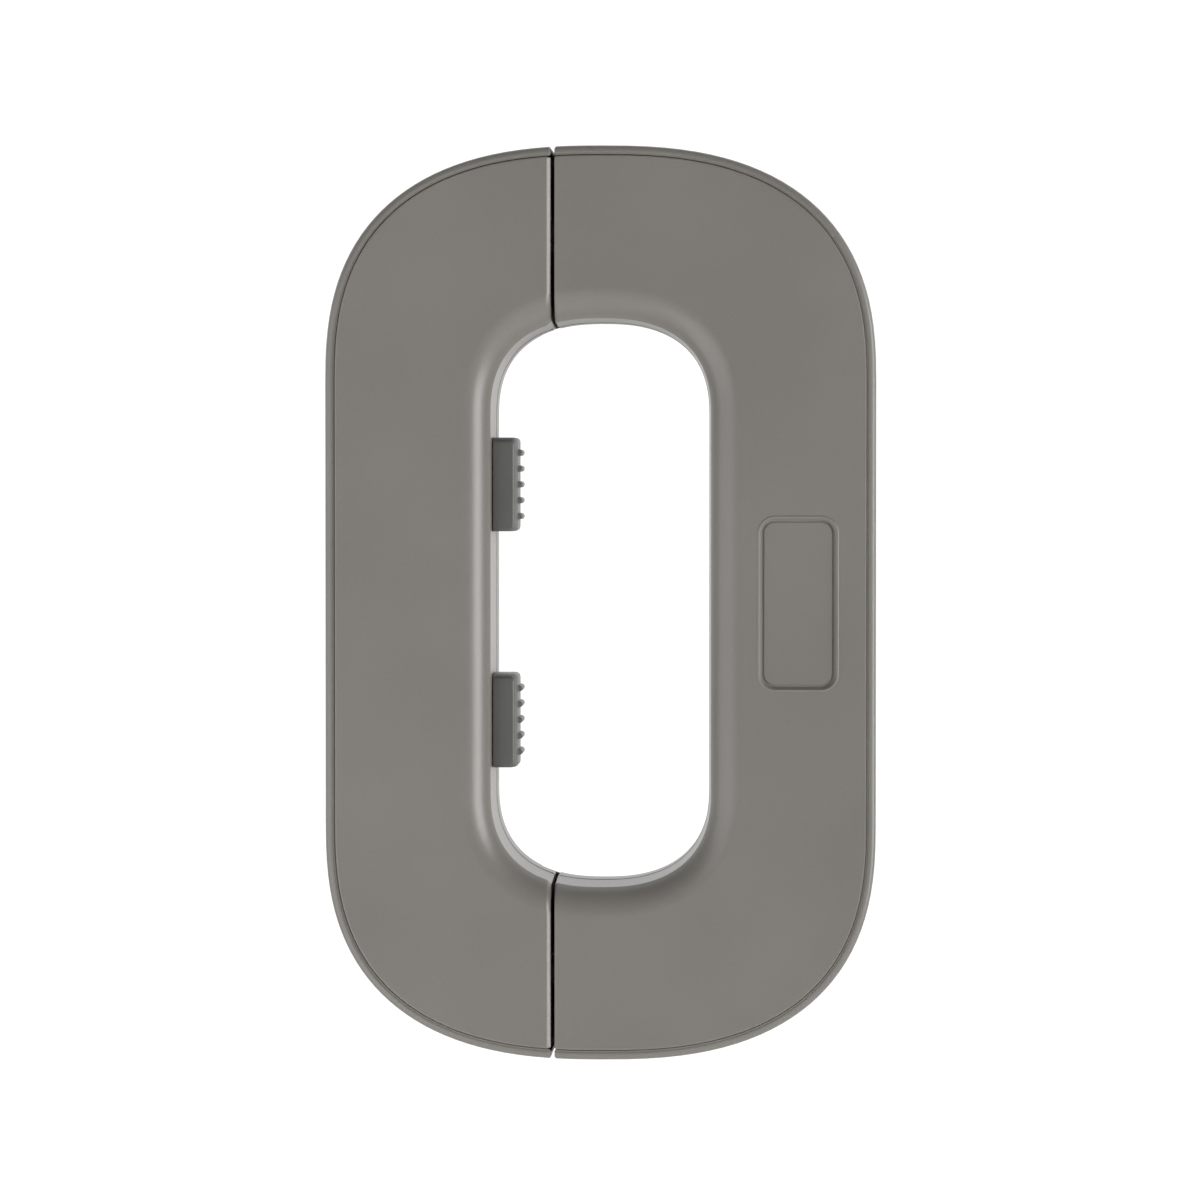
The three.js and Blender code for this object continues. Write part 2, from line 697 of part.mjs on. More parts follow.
// Tongue: plate with an eye for the bolt's nose, standing on a foot screwed to the keeper's tray.
function tongue() {
  const blade = column(polygon([
    [tongueLeft, tongueFrontY + TONGUE_CHAMFER],
    [tongueLeft + TONGUE_CHAMFER, tongueFrontY],
    [footRight, tongueFrontY],
    [footRight, tongueBackY],
    [tongueLeft + TONGUE_CHAMFER, tongueBackY],
    [tongueLeft, tongueBackY - TONGUE_CHAMFER],
  ]), tongueBottom, tongueTop);
  const foot = block(
    [footLeft, footRight],
    [footFrontY, floorY - SEAT],
    [armMiddle - FOOT_WIDTH / 2, armMiddle + FOOT_WIDTH / 2],
  );
  const eye = block(
    [noseLeft - EYE_CLEARANCE, noseRight + EYE_CLEARANCE],
    [boltFrontY + NOSE_INSET - EYE_CLEARANCE, boltBackY - NOSE_INSET + EYE_CLEARANCE],
    [tongueBottom - 1, tongueTop + 1],
  );
  const pilots = footScrews.map(([x, z]) => post(
    x, z, SCREW_RADIUS + THREAD_GAP, headY - TONGUE_SCREW_LENGTH - 0.5, floorY));
  return geometryOf(cut(join(blade, foot), eye, ...pilots));
}

const shellGrey = { color: 0x7d7a75, roughness: 0.5, metalness: 0 };
const capGrey = { color: 0x5a5b57, roughness: 0.55, metalness: 0 };
const nylonGrey = { color: 0x4c4d4b, roughness: 0.6, metalness: 0 };
const acetalWhite = { color: 0xd9d7d0, roughness: 0.45, metalness: 0 };
const springSteel = { color: 0xb4b6b8, roughness: 0.3, metalness: 1 };
const screwSteel = { color: 0xa7a9ab, roughness: 0.35, metalness: 1 };
const foamWhite = { color: 0xc9c9c4, roughness: 0.9, metalness: 0 };

function piece(name, geometry, finish) {
  const mesh = new THREE.Mesh(geometry, new THREE.MeshStandardMaterial(finish));
  mesh.name = name;
  return mesh;
}

// One bolt with its cap, screw and spring, and its tongue with two screws; mirrored for below.
function boltSet(prefix, side) {
  const set = new THREE.Group();
  set.add(piece(`${prefix}_bolt`, bolt(), acetalWhite));
  set.add(piece(`${prefix}_thumb_cap`, thumbCap(), capGrey));
  set.add(piece(`${prefix}_detent_spring`, detentSpring(), springSteel));
  const capScrew = piece(`${prefix}_cap_screw`, screw(CAP_SCREW_LENGTH), screwSteel);
  capScrew.rotation.z = Math.PI / 2;
  capScrew.position.set(boltLeft + HEAD_SINK + SCREW_HEAD_HEIGHT, boltY, neckCentre);
  set.add(capScrew);
  set.add(piece(`${prefix}_tongue`, tongue(), nylonGrey));
  footScrews.forEach(([x, z], i) => {
    const fixing = piece(`${prefix}_tongue_screw_${i + 1}`, screw(TONGUE_SCREW_LENGTH), screwSteel);
    fixing.position.set(x, headY, z);
    set.add(fixing);
  });
  set.scale.z = side;
  return set;
}

const lock = new THREE.Group();
lock.name = 'refrigerator_lock';
lock.add(piece('keeper_cover', keeperCover(), shellGrey));
lock.add(piece('keeper_tray', keeperTray(), shellGrey));
lock.add(piece('keeper_pad', pad(1, RING_HEIGHT), foamWhite));
lock.add(piece('lock_cover', lockCover(), shellGrey));
lock.add(piece('lock_tray', lockTray(), shellGrey));
lock.add(piece('lock_pad', pad(-1, tongueBottom - POCKET_CLEARANCE - PAD_MARGIN), foamWhite));
lock.add(boltSet('upper', 1));
lock.add(boltSet('lower', -1));
[['keeper_screw', keeperScrews], ['lock_screw', lockScrews]].forEach(([name, places]) => {
  places.forEach(([x, z], i) => {
    const fixing = piece(`${name}_${i + 1}`, screw(COVER_SCREW_LENGTH), screwSteel);
    fixing.position.set(x, headY, z);
    lock.add(fixing);
  });
});

export default lock;
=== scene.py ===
import math
import bmesh
import bpy
from mathutils import Matrix, Vector


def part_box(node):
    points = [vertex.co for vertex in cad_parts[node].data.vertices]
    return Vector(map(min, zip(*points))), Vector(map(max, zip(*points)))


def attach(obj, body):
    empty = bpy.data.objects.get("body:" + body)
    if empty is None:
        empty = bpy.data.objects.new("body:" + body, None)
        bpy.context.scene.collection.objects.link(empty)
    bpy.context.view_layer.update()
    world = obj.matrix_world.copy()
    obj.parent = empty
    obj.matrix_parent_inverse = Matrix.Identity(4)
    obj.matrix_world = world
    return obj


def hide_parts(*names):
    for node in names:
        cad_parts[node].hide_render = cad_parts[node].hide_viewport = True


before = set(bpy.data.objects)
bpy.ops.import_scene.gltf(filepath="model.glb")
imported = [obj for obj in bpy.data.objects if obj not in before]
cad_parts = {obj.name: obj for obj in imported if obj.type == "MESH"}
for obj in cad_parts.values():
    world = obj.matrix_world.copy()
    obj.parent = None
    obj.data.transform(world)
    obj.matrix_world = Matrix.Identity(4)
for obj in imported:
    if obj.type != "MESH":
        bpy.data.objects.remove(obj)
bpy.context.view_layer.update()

mm = 0.001
print("frame loaded:", len(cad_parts), "nodes")

# lock as measured: door line at x 0, door surface at y 0, front towards -y, all in mm
ringShape = {"halfWidth": 45.2, "straight": 36.2, "corner": 38.8, "squareness": 2.55, "grow": -1}
openShape = {"halfWidth": 18.35, "straight": 30.8, "corner": 16.2, "squareness": 2.45, "grow": 1}
body = {
    "centre": 7.8, "halfGap": 0.3, "bar": 26.85, "faceY": -22.0, "backY": -1.1, "floorY": -3.5,
    "wall": 2.2, "rimWidth": 1.2, "rimDrop": 0.22, "rimRound": 0.9, "groove": 0.35,
    "lipInto": -0.67, "lipThickness": 1.4, "lipHeight": 6.4, "wallInto": -0.22,
    "draft": 0.37, "fit": 0.3, "jointGap": 0.15, "clearZ": 90.0,
}
boltPlace = {"left": -21.05, "right": -13.05, "frontY": -14.4, "backY": -8.4, "midY": -11.4}
sides = {"keeper": 1, "lock": -1}
halfBodies = {"keeper": "keeper", "lock": "lock_half"}
ends = {"upper": 1, "lower": -1}
screwNumbers = {"cover": (1, 2, 3, 4), "tongue": (1, 2)}
arcs = {"step": 0.25, "largeRadius": 2, "largeSteps": 10}
mergeGap = 0.002


# small tools shared by all pieces

def hexColour(code):
    rgb = [int(code[i:i + 2], 16) / 255 for i in (1, 3, 5)]
    return [c / 12.92 if c <= 0.04045 else ((c + 0.055) / 1.055) ** 2.4 for c in rgb] + [1.0]


def newPiece(name, bm):
    mesh = bpy.data.meshes.new(name)
    bm.to_mesh(mesh)
    bm.free()
    obj = bpy.data.objects.new(name, mesh)
    bpy.context.scene.collection.objects.link(obj)
    return obj


def pieceName(node):
    words = node.split("_")
    return words[0] + "".join(word.capitalize() for word in words[1:])


def zSpan(way, low, high):
    # the same stretch above the middle or mirrored below it
    return sorted([way * low, way * high])


def loftSections(bm, sections):
    # first section from a circle of as many points, the others extruded from it and moved
    place = bm.verts.layers.int.new("place")
    ring = bmesh.ops.create_circle(bm, segments=len(sections[0]), radius=1)["verts"]
    for i, vert in enumerate(ring):
        vert[place] = i
        vert.co = Vector(sections[0][i]) * mm
    edges = list(dict.fromkeys(e for v in ring for e in v.link_edges))
    startEdges = edges
    for section in sections[1:]:
        made = bmesh.ops.extrude_edge_only(bm, edges=edges)["geom"]
        fresh = {v for v in made if isinstance(v, bmesh.types.BMVert)}
        for vert in fresh:
            vert.co = Vector(section[vert[place]]) * mm
        edges = [e for e in made if isinstance(e, bmesh.types.BMEdge)
                 and e.verts[0] in fresh and e.verts[1] in fresh]
    bmesh.ops.contextual_create(bm, geom=startEdges)
    bmesh.ops.contextual_create(bm, geom=edges)
    bmesh.ops.recalc_face_normals(bm, faces=bm.faces)


def outlinePoint(shape, into, angle, sx, sz):
    # superellipse corner of the ring or of its opening, moved along its own normal
    power = 2 / shape["squareness"]
    across = max(math.cos(angle), 0.0) ** power
    up = max(math.sin(angle), 0.0) ** power
    nx = across ** (shape["squareness"] - 1) / shape["halfWidth"]
    nz = up ** (shape["squareness"] - 1) / shape["corner"]
    grow = shape["grow"] * into / math.hypot(nx, nz)
    x = body["centre"] + sx * (shape["halfWidth"] * across + grow * nx)
    return x, sz * (shape["straight"] + shape["corner"] * up + grow * nz)


def angleAt(shape, into, x):
    # where the upper left corner crosses an upright plane
    low, high = 0.0, math.pi / 2
    halvings = 48
    for _ in range(halvings):
        mid = (low + high) / 2
        if outlinePoint(shape, into, mid, -1, 1)[0] < x:
            low = mid
        else:
            high = mid
    return (low + high) / 2


def roundedProfile(points):
    # profile corners given as (shape, into, y, radius) become arcs of a few points
    outline = []
    count = len(points)
    bar = body["bar"]
    place = [Vector((p[1] if p[0] is ringShape else bar - p[1], p[2])) for p in points]
    for i, (shape, into, y, radius) in enumerate(points):
        here = place[i]
        back = (place[i - 1] - here).normalized()
        ahead = (place[(i + 1) % count] - here).normalized()
        if radius == 0:
            arc = [here]
        else:
            half = back.angle(ahead) / 2
            reach = radius / math.tan(half)
            middle = here + (back + ahead).normalized() * (radius / math.sin(half))
            start, end = here + back * reach - middle, here + ahead * reach - middle
            steps = arcs["largeSteps"]
            if radius < arcs["largeRadius"]:
                steps = max(2, round(radius / arcs["step"]))
            arc = [middle + start.slerp(end, k / steps) * radius for k in range(steps + 1)]
        for spot in arc:
            outline.append((shape, spot.x if shape is ringShape else bar - spot.x, spot.y, radius))
    return outline


def insetDirections(profile):
    # direction into the material at each point of a closed profile
    place = [Vector((p[1] if p[0] is ringShape else body["bar"] - p[1], p[2])) for p in profile]
    count = len(place)
    turn = sum(place[i - 1].cross(place[i]) for i in range(count))
    way = 1 if turn > 0 else -1
    leastCosine = 0.6  # keeps sharp corners from running away
    out = []
    for i in range(count):
        a = (place[i] - place[i - 1]).normalized()
        b = (place[(i + 1) % count] - place[i]).normalized()
        normal = Vector((-(a + b).y, (a + b).x)).normalized() * way
        stretch = max(leastCosine, a.dot((a + b).normalized()))
        out.append(normal / stretch)
    return out


# share of the run and of the drop at each row of an eased end: a chamfer with soft borders
easing = [(0, 1), (0.03, 0.84), (0.14, 0.66), (0.66, 0.14), (0.84, 0.03), (1, 0)]


def halfRing(bm, profile, side, start, ease=(0.0, 0.0), steps=30, shortSteps=8, roundShare=0.9):
    # one half of the ring, its two ends on the door line eased over a run and a drop;
    # a rounded corner of the profile keeps a tenth of its radius there
    run, drop = ease
    inward = insetDirections(profile)
    upper = []
    angles = []
    for along, depth in easing if run else [(1, 0)]:
        x = side * (start + run * along)
        inset = drop * depth
        section = []
        angles = []
        for (shape, into, y, tight), push in zip(profile, inward):
            sign = 1 if shape is ringShape else -1
            share = inset * min(1, roundShare * tight / drop) if tight and drop else inset
            shifted = into + sign * push.x * share
            angle = angleAt(shape, shifted, x)
            section.append((x, y + push.y * share, outlinePoint(shape, shifted, angle, -1, 1)[1]))
            angles.append(angle)
        upper.append(section)
    runs = [(-1, 0.0, steps)]
    if side > 0:
        runs = [(-1, math.pi / 2, shortSteps), (1, 0.0, steps)]
    for sx, goal, count in runs:
        begin = angles if sx < 0 else [math.pi / 2] * len(profile)
        for k in range(1, count + 1):
            section = []
            for point, first in zip(profile, begin):
                shape, into, y = point[:3]
                angle = first + (goal - first) * k / count
                px, pz = outlinePoint(shape, into, angle, sx, 1)
                section.append((px, y, pz))
            upper.append(section)
    lower = [[(x, y, -z) for x, y, z in section] for section in reversed(upper)]
    loftSections(bm, upper + lower)


def roundBox(bm, low, high, radius=0.0, segments=3):
    # block from corner to corner in mm, edges eased
    size = [h - l for l, h in zip(low, high)]
    middle = [(l + h) / 2 * mm for l, h in zip(low, high)]
    place = Matrix.Translation(middle) @ Matrix.Diagonal([s * mm for s in size] + [1.0])
    made = bmesh.ops.create_cube(bm, size=1, matrix=place)["verts"]
    if radius:
        edges = list(dict.fromkeys(e for v in made for e in v.link_edges))
        bmesh.ops.bevel(bm, geom=edges, offset=radius * mm, offset_type="OFFSET", affect="EDGES",
                        segments=segments, profile=0.5, material=-1, clamp_overlap=True)


def roundPost(bm, x, z, radius, y0, y1, sideCount=32, turned=0.06):
    # turned a little, so that no edge of it falls on an edge of the shell
    turn = Matrix.Rotation(math.pi / 2, 4, "X") @ Matrix.Rotation(turned, 4, "Z")
    place = Matrix.Translation((x * mm, (y0 + y1) / 2 * mm, z * mm)) @ turn
    bmesh.ops.create_cone(bm, cap_ends=True, segments=sideCount, radius1=radius * mm,
                          radius2=radius * mm, depth=(y1 - y0) * mm, matrix=place)


def carve(obj, bm, operation):
    # joins or cuts one set of solids, then keeps only the finished mesh
    tool = newPiece("tool", bm)
    change = obj.modifiers.new("carve", "BOOLEAN")
    change.operation = operation
    change.solver = "EXACT"
    change.object = tool
    done = bpy.data.meshes.new_from_object(obj.evaluated_get(bpy.context.evaluated_depsgraph_get()))
    obj.modifiers.clear()
    old = obj.data
    obj.data = done
    done.name = obj.name
    bpy.data.meshes.remove(old)
    toolMesh = tool.data
    bpy.data.objects.remove(tool)
    bpy.data.meshes.remove(toolMesh)


def finishShading(obj, degrees=32):
    # tiny edges left by the cuts go, smooth faces meet sharp ones at the given angle
    mesh = obj.data
    bm = bmesh.new()
    bm.from_mesh(mesh)
    bmesh.ops.remove_doubles(bm, verts=bm.verts, dist=mergeGap * mm)
    bmesh.ops.dissolve_degenerate(bm, edges=bm.edges, dist=mergeGap / 2 * mm)
    bm.to_mesh(mesh)
    bm.free()
    for polygon in mesh.polygons:
        polygon.use_smooth = True
    mesh.set_sharp_from_angle(angle=math.radians(degrees))
    weighted = obj.modifiers.new("evenShading", "WEIGHTED_NORMAL")
    weighted.keep_sharp = True


def putOn(obj, rideBody, node, material):
    obj.data.materials.clear()
    obj.data.materials.append(material)
    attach(obj, rideBody)
    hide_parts(node)


# materials

noiseRange = (0.3, 0.7)  # where most of a noise lies
glossSpread = {"plastic": 0.05, "metal": 0.08}


def addNode(tree, kind, links=None, **settings):
    node = tree.nodes.new(kind)
    for key, value in settings.items():
        if hasattr(node, key):
            setattr(node, key, value)
        else:
            node.inputs[key.replace("_", " ")].default_value = value
    for socket, source in (links or {}).items():
        tree.links.new(source, node.inputs[socket])
    return node


def plasticMaterial(name, look):
    # moulded plastic: spark-eroded grain that breaks up the gloss, faint uneven flow of colour
    material = bpy.data.materials.new(name)
    material.use_nodes = True
    tree = material.node_tree
    shader = tree.nodes["Principled BSDF"]
    place = addNode(tree, "ShaderNodeTexCoord").outputs["Object"]
    grain = addNode(tree, "ShaderNodeTexNoise", {"Vector": place},
                    Scale=1 / (look["grain"] * mm), Detail=3.0, Roughness=0.6)
    flow = addNode(tree, "ShaderNodeTexNoise", {"Vector": place},
                   Scale=1 / (look["flow"] * mm), Detail=2.0, Roughness=0.5)
    tone = addNode(tree, "ShaderNodeValToRGB", {"Fac": flow.outputs["Fac"]})
    tone.color_ramp.elements[0].position = noiseRange[0]
    tone.color_ramp.elements[0].color = hexColour(look["dark"])
    tone.color_ramp.elements[1].position = noiseRange[1]
    tone.color_ramp.elements[1].color = hexColour(look["light"])
    speck = addNode(tree, "ShaderNodeMapRange", {"Value": grain.outputs["Fac"]},
                    From_Min=noiseRange[0], From_Max=noiseRange[1],
                    To_Min=1 - look["speck"], To_Max=1 + look["speck"])
    paint = addNode(tree, "ShaderNodeVectorMath",
                    {0: tone.outputs["Color"], "Scale": speck.outputs["Result"]}, operation="SCALE")
    spread = glossSpread["plastic"]
    gloss = addNode(tree, "ShaderNodeMapRange", {"Value": grain.outputs["Fac"]},
                    From_Min=noiseRange[0], From_Max=noiseRange[1],
                    To_Min=look["rough"] - spread, To_Max=look["rough"] + spread)
    relief = addNode(tree, "ShaderNodeBump", {"Height": grain.outputs["Fac"]},
                     Strength=look["relief"], Distance=look["depth"] * mm)
    tree.links.new(paint.outputs["Vector"], shader.inputs["Base Color"])
    tree.links.new(gloss.outputs["Result"], shader.inputs["Roughness"])
    tree.links.new(relief.outputs["Normal"], shader.inputs["Normal"])
    shader.inputs["IOR"].default_value = look["ior"]
    return material


def metalMaterial(name, look):
    # plated or rolled steel: fine lines along one way that streak the highlight
    material = bpy.data.materials.new(name)
    material.use_nodes = True
    tree = material.node_tree
    shader = tree.nodes["Principled BSDF"]
    place = addNode(tree, "ShaderNodeTexCoord").outputs["Object"]
    stretch = addNode(tree, "ShaderNodeMapping", {"Vector": place}, Scale=look["stretch"])
    lines = addNode(tree, "ShaderNodeTexNoise", {"Vector": stretch.outputs["Vector"]},
                    Scale=1 / (look["grain"] * mm), Detail=2.0)
    tone = addNode(tree, "ShaderNodeValToRGB", {"Fac": lines.outputs["Fac"]})
    tone.color_ramp.elements[0].color = hexColour(look["dark"])
    tone.color_ramp.elements[1].color = hexColour(look["light"])
    spread = glossSpread["metal"]
    gloss = addNode(tree, "ShaderNodeMapRange", {"Value": lines.outputs["Fac"]},
                    To_Min=look["rough"] - spread, To_Max=look["rough"] + spread)
    tree.links.new(tone.outputs["Color"], shader.inputs["Base Color"])
    tree.links.new(gloss.outputs["Result"], shader.inputs["Roughness"])
    shader.inputs["Metallic"].default_value = 1.0
    return material


# textured ABS of the shell: satin warm grey, grain drawn at 0.35 mm so that it shows
shellAbs = plasticMaterial("texturedAbsShell", {
    "dark": "#7B7873", "light": "#807D78", "grain": 0.35, "flow": 28, "speck": 0.035,
    "rough": 0.33, "relief": 0.25, "depth": 0.04, "ior": 1.53})
# plain ABS of the caps: darker
capAbs = plasticMaterial("darkAbsCap", {
    "dark": "#5B5C58", "light": "#626360", "grain": 0.4, "flow": 9, "speck": 0.03,
    "rough": 0.42, "relief": 0.2, "depth": 0.03, "ior": 1.53})
# glass-filled nylon of the tongues: matt, mottled by the fibres
filledNylon = plasticMaterial("glassFilledNylon", {
    "dark": "#474846", "light": "#535452", "grain": 0.8, "flow": 3, "speck": 0.08,
    "rough": 0.6, "relief": 0.3, "depth": 0.04, "ior": 1.52})
# acetal of the bolts: milky, waxy gloss
acetal = plasticMaterial("naturalAcetal", {
    "dark": "#D4D2CA", "light": "#DDDBD4", "grain": 0.6, "flow": 12, "speck": 0.015,
    "rough": 0.38, "relief": 0.08, "depth": 0.02, "ior": 1.48})
# acrylic foam tape: open dull cells about 0.5 mm across
foamTape = plasticMaterial("acrylicFoamTape", {
    "dark": "#C4C4BE", "light": "#CFCFCA", "grain": 0.5, "flow": 15, "speck": 0.07,
    "rough": 0.88, "relief": 0.5, "depth": 0.08, "ior": 1.47})
# cold-rolled spring steel: lines along the strip
springSteel = metalMaterial("rolledSpringSteel", {
    "dark": "#9C9EA0", "light": "#C2C4C6", "grain": 0.3, "stretch": (1, 1, 0.06), "rough": 0.3})
# zinc-plated steel of the screws: pale, faintly uneven
zincSteel = metalMaterial("zincPlatedSteel", {
    "dark": "#9A9C9E", "light": "#B9BBBC", "grain": 0.7, "stretch": (1, 1, 1), "rough": 0.34})
print("materials:", len(bpy.data.materials))


# covers: face, rolled inner edge and the wall down to the joint with the tray

coverPiece = {
    "edgeRound": 0.4, "insideRound": 2.6, "jointRound": 0.15, "skirt": 3.5, "lap": 3.4,
    "roll": 5.4, "rollTurn": 62, "rollTail": 0.32, "rollEnd": 0.3, "wallTurn": 87,
    "rollSteps": 12, "cornerSteps": 3, "endRound": {"keeper": (0.35, 0.35), "lock": (0.85, 0.7)},
    "postRadius": 2.6, "boreRadius": 1.32, "postEndY": -6.0, "boreFrontY": -13.45, "borePast": 1.0,
    "sidePast": 0.3, "backPast": 0.5,
}
panel = {
    "right": 46.25, "width": 12.0, "height": 27.5, "corner": 2.2, "cornerSteps": 8,
    "rim": 0.4, "rimEdge": 0.01, "rimDrop": 0.5, "rimCurve": 1.25, "rimSteps": 4,
    "foot": 0.15, "footSteps": 3, "grooveDepth": 0.6, "cutAbove": 1.0,
    "bead": [(0.66, -0.3), (0.66, 0.0), (0.63, 0.04), (0.55, 0.09), (0.42, 0.12)],
    "plate": [(-0.42, -1.2), (-0.42, -0.5), (-0.46, -0.4), (-0.6, -0.33)],
}
slots = {
    "tongueLow": 59.25, "tongueHigh": 62.75, "tongueFrontY": -17.4, "pocketRoom": 0.8,
    "neckLow": 14.0, "neckHigh": 25.8, "neckFrontY": -13.9, "neckBackY": -8.9, "neckRight": -9.0,
    "ribs": [(14.1, 15.7), (44.85, 46.45)], "ribShort": 1.0,
}
coverEdge = body["rimWidth"] + body["groove"]
lipY = body["backY"] - body["lipHeight"]
jointY = lipY - body["jointGap"]
tabInto = body["lipInto"] + body["lipThickness"] + body["fit"]
tabY = jointY + coverPiece["lap"]
coverBackY = body["floorY"] - body["fit"]
faceInsideY = body["faceY"] + body["wall"]
wall = body["wall"]
innerWallX = body["centre"] - openShape["halfWidth"]

# the rolled edge turns, runs straight on a little, then a tight corner takes it into the wall
roll, rollEnd = coverPiece["roll"], coverPiece["rollEnd"]
full, wallTurn = math.radians(coverPiece["rollTurn"]), math.radians(coverPiece["wallTurn"])
tailInto = coverPiece["rollTail"] * math.cos(full)
tailDrop = coverPiece["rollTail"] * math.sin(full)
cornerInto = body["wallInto"] + rollEnd * (math.sin(wallTurn) - math.sin(full))
cornerY = body["faceY"] + roll * (1 - math.cos(full)) + tailDrop
rollInto = cornerInto + tailInto + roll * math.sin(full)
rolled = []
for k in range(coverPiece["rollSteps"] + 1):
    turn = full * k / coverPiece["rollSteps"]
    y = body["faceY"] + roll * (1 - math.cos(turn))
    rolled.append((openShape, rollInto - roll * math.sin(turn), y, 0))
for k in range(coverPiece["cornerSteps"] + 1):
    turn = full + (wallTurn - full) * k / coverPiece["cornerSteps"]
    y = cornerY + rollEnd * (math.cos(full) - math.cos(turn))
    rolled.append((openShape, body["wallInto"] + rollEnd * (math.sin(wallTurn) - math.sin(turn)), y, 0))
coverProfile = roundedProfile([
    (ringShape, coverEdge, coverBackY, 0),
    (ringShape, coverEdge, body["faceY"], coverPiece["edgeRound"]),
] + rolled + [
    (openShape, body["wallInto"] - body["draft"], jointY, coverPiece["jointRound"]),
    (openShape, tabInto, jointY, 0),
    (openShape, tabInto, coverBackY, 0),
])
skirtY = faceInsideY + coverPiece["skirt"]
sidePast, cavityBackY = coverPiece["sidePast"], coverBackY + coverPiece["backPast"]
cavityProfile = roundedProfile([
    (ringShape, coverEdge - sidePast, cavityBackY, 0),
    (ringShape, coverEdge - sidePast, skirtY, 0),
    (ringShape, coverEdge + wall, skirtY, 0),
    (ringShape, coverEdge + wall, faceInsideY, 0),
    (openShape, wall, faceInsideY, coverPiece["insideRound"]),
    (openShape, wall, tabY, 0),
    (openShape, tabInto - sidePast, tabY, 0),
    (openShape, tabInto - sidePast, cavityBackY, 0),
])


def panelOutline(grow, y):
    # outline of the panel, grown or shrunk, as points on one level
    points = []
    radius, steps = panel["corner"] + grow, panel["cornerSteps"]
    middle = panel["right"] - panel["width"] / 2
    for quarter, (sx, sz) in enumerate([(1, 1), (-1, 1), (-1, -1), (1, -1)]):
        cornerX = middle + sx * (panel["width"] / 2 + grow - radius)
        cornerZ = sz * (panel["height"] / 2 + grow - radius)
        for k in range(steps + 1):
            angle = (quarter + k / steps) * math.pi / 2
            points.append((cornerX + radius * math.cos(angle), y, cornerZ + radius * math.sin(angle)))
    return points


def screwPlaces(names):
    # middles of the frame's screws, seen from the front
    boxes = [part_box(name) for name in names]
    return [((low.x + high.x) / 2 / mm, (low.z + high.z) / 2 / mm) for low, high in boxes]


screws = {}
for half in sides:
    screws[half] = screwPlaces([half + "_screw_%d" % i for i in screwNumbers["cover"]])
footScrews = screwPlaces([end + "_tongue_screw_%d" % i for end in ends for i in screwNumbers["tongue"]])


def addPanel(obj):
    # bead round the panel, then a groove inside it with a sloped rim, then the bare plate
    top, rim, foot = panel["bead"][-1][1], panel["rim"], panel["foot"]
    cut = [(rim, panel["cutAbove"]), (rim, top - panel["rimEdge"])]
    for k in range(1, panel["rimSteps"] + 1):
        share = k / panel["rimSteps"]
        cut.append((rim * (1 - share), top - panel["rimDrop"] * share ** panel["rimCurve"]))
    for k in range(panel["footSteps"] + 1):
        turn = k / panel["footSteps"] * math.pi / 2
        cut.append((-foot * (1 - math.cos(turn)), foot * (1 - math.sin(turn)) - panel["grooveDepth"]))
    stages = [(panel["bead"], "UNION"), (cut, "DIFFERENCE"), (panel["plate"], "UNION")]
    for levels, operation in stages:
        bm = bmesh.new()
        loftSections(bm, [panelOutline(grow, body["faceY"] - out) for grow, out in levels])
        carve(obj, bm, operation)


def makeCover(name):
    side = sides[name]
    bm = bmesh.new()
    halfRing(bm, coverProfile, side, body["halfGap"], coverPiece["endRound"][name])
    obj = newPiece(name + "Cover", bm)
    bm = bmesh.new()
    halfRing(bm, cavityProfile, side, body["halfGap"] + wall)
    carve(obj, bm, "DIFFERENCE")
    bm = bmesh.new()
    for x, z in screws[name]:
        roundPost(bm, x, z, coverPiece["postRadius"], faceInsideY - wall / 2, coverPiece["postEndY"])
    if name == "lock":
        ribRight = boltPlace["right"] - slots["ribShort"]
        for low, high in slots["ribs"]:
            for z0, z1 in [(low, high), (-high, -low)]:
                roundBox(bm, (boltPlace["left"], faceInsideY - wall / 2, z0),
                         (ribRight, boltPlace["frontY"] - body["fit"], z1))
    carve(obj, bm, "UNION")
    bm = bmesh.new()
    boreEndY = coverPiece["postEndY"] + coverPiece["borePast"]
    for x, z in screws[name]:
        roundPost(bm, x, z, coverPiece["boreRadius"], coverPiece["boreFrontY"], boreEndY)
    room = slots["pocketRoom"] if name == "lock" else body["fit"]
    x0, x1 = sorted([0, side * (body["halfGap"] + wall + coverPiece["backPast"])])
    neckLeft = innerWallX - wall - coverPiece["backPast"]
    for way in (1, -1):
        z0, z1 = zSpan(way, slots["tongueLow"] - room, slots["tongueHigh"] + room)
        roundBox(bm, (x0, slots["tongueFrontY"] - room, z0), (x1, 0, z1))
        if name == "lock":
            z0, z1 = zSpan(way, slots["neckLow"], slots["neckHigh"])
            roundBox(bm, (neckLeft, slots["neckFrontY"], z0), (slots["neckRight"], slots["neckBackY"], z1))
    carve(obj, bm, "DIFFERENCE")
    if name == "keeper":
        addPanel(obj)
    finishShading(obj)
    putOn(obj, halfBodies[name], name + "_cover", shellAbs)
    return obj


for half in sides:
    cover = makeCover(half)
    print(cover.name, len(cover.data.polygons), "faces")


# trays: floor, outer wall up to the rim that shows as a band, and the lip at the opening

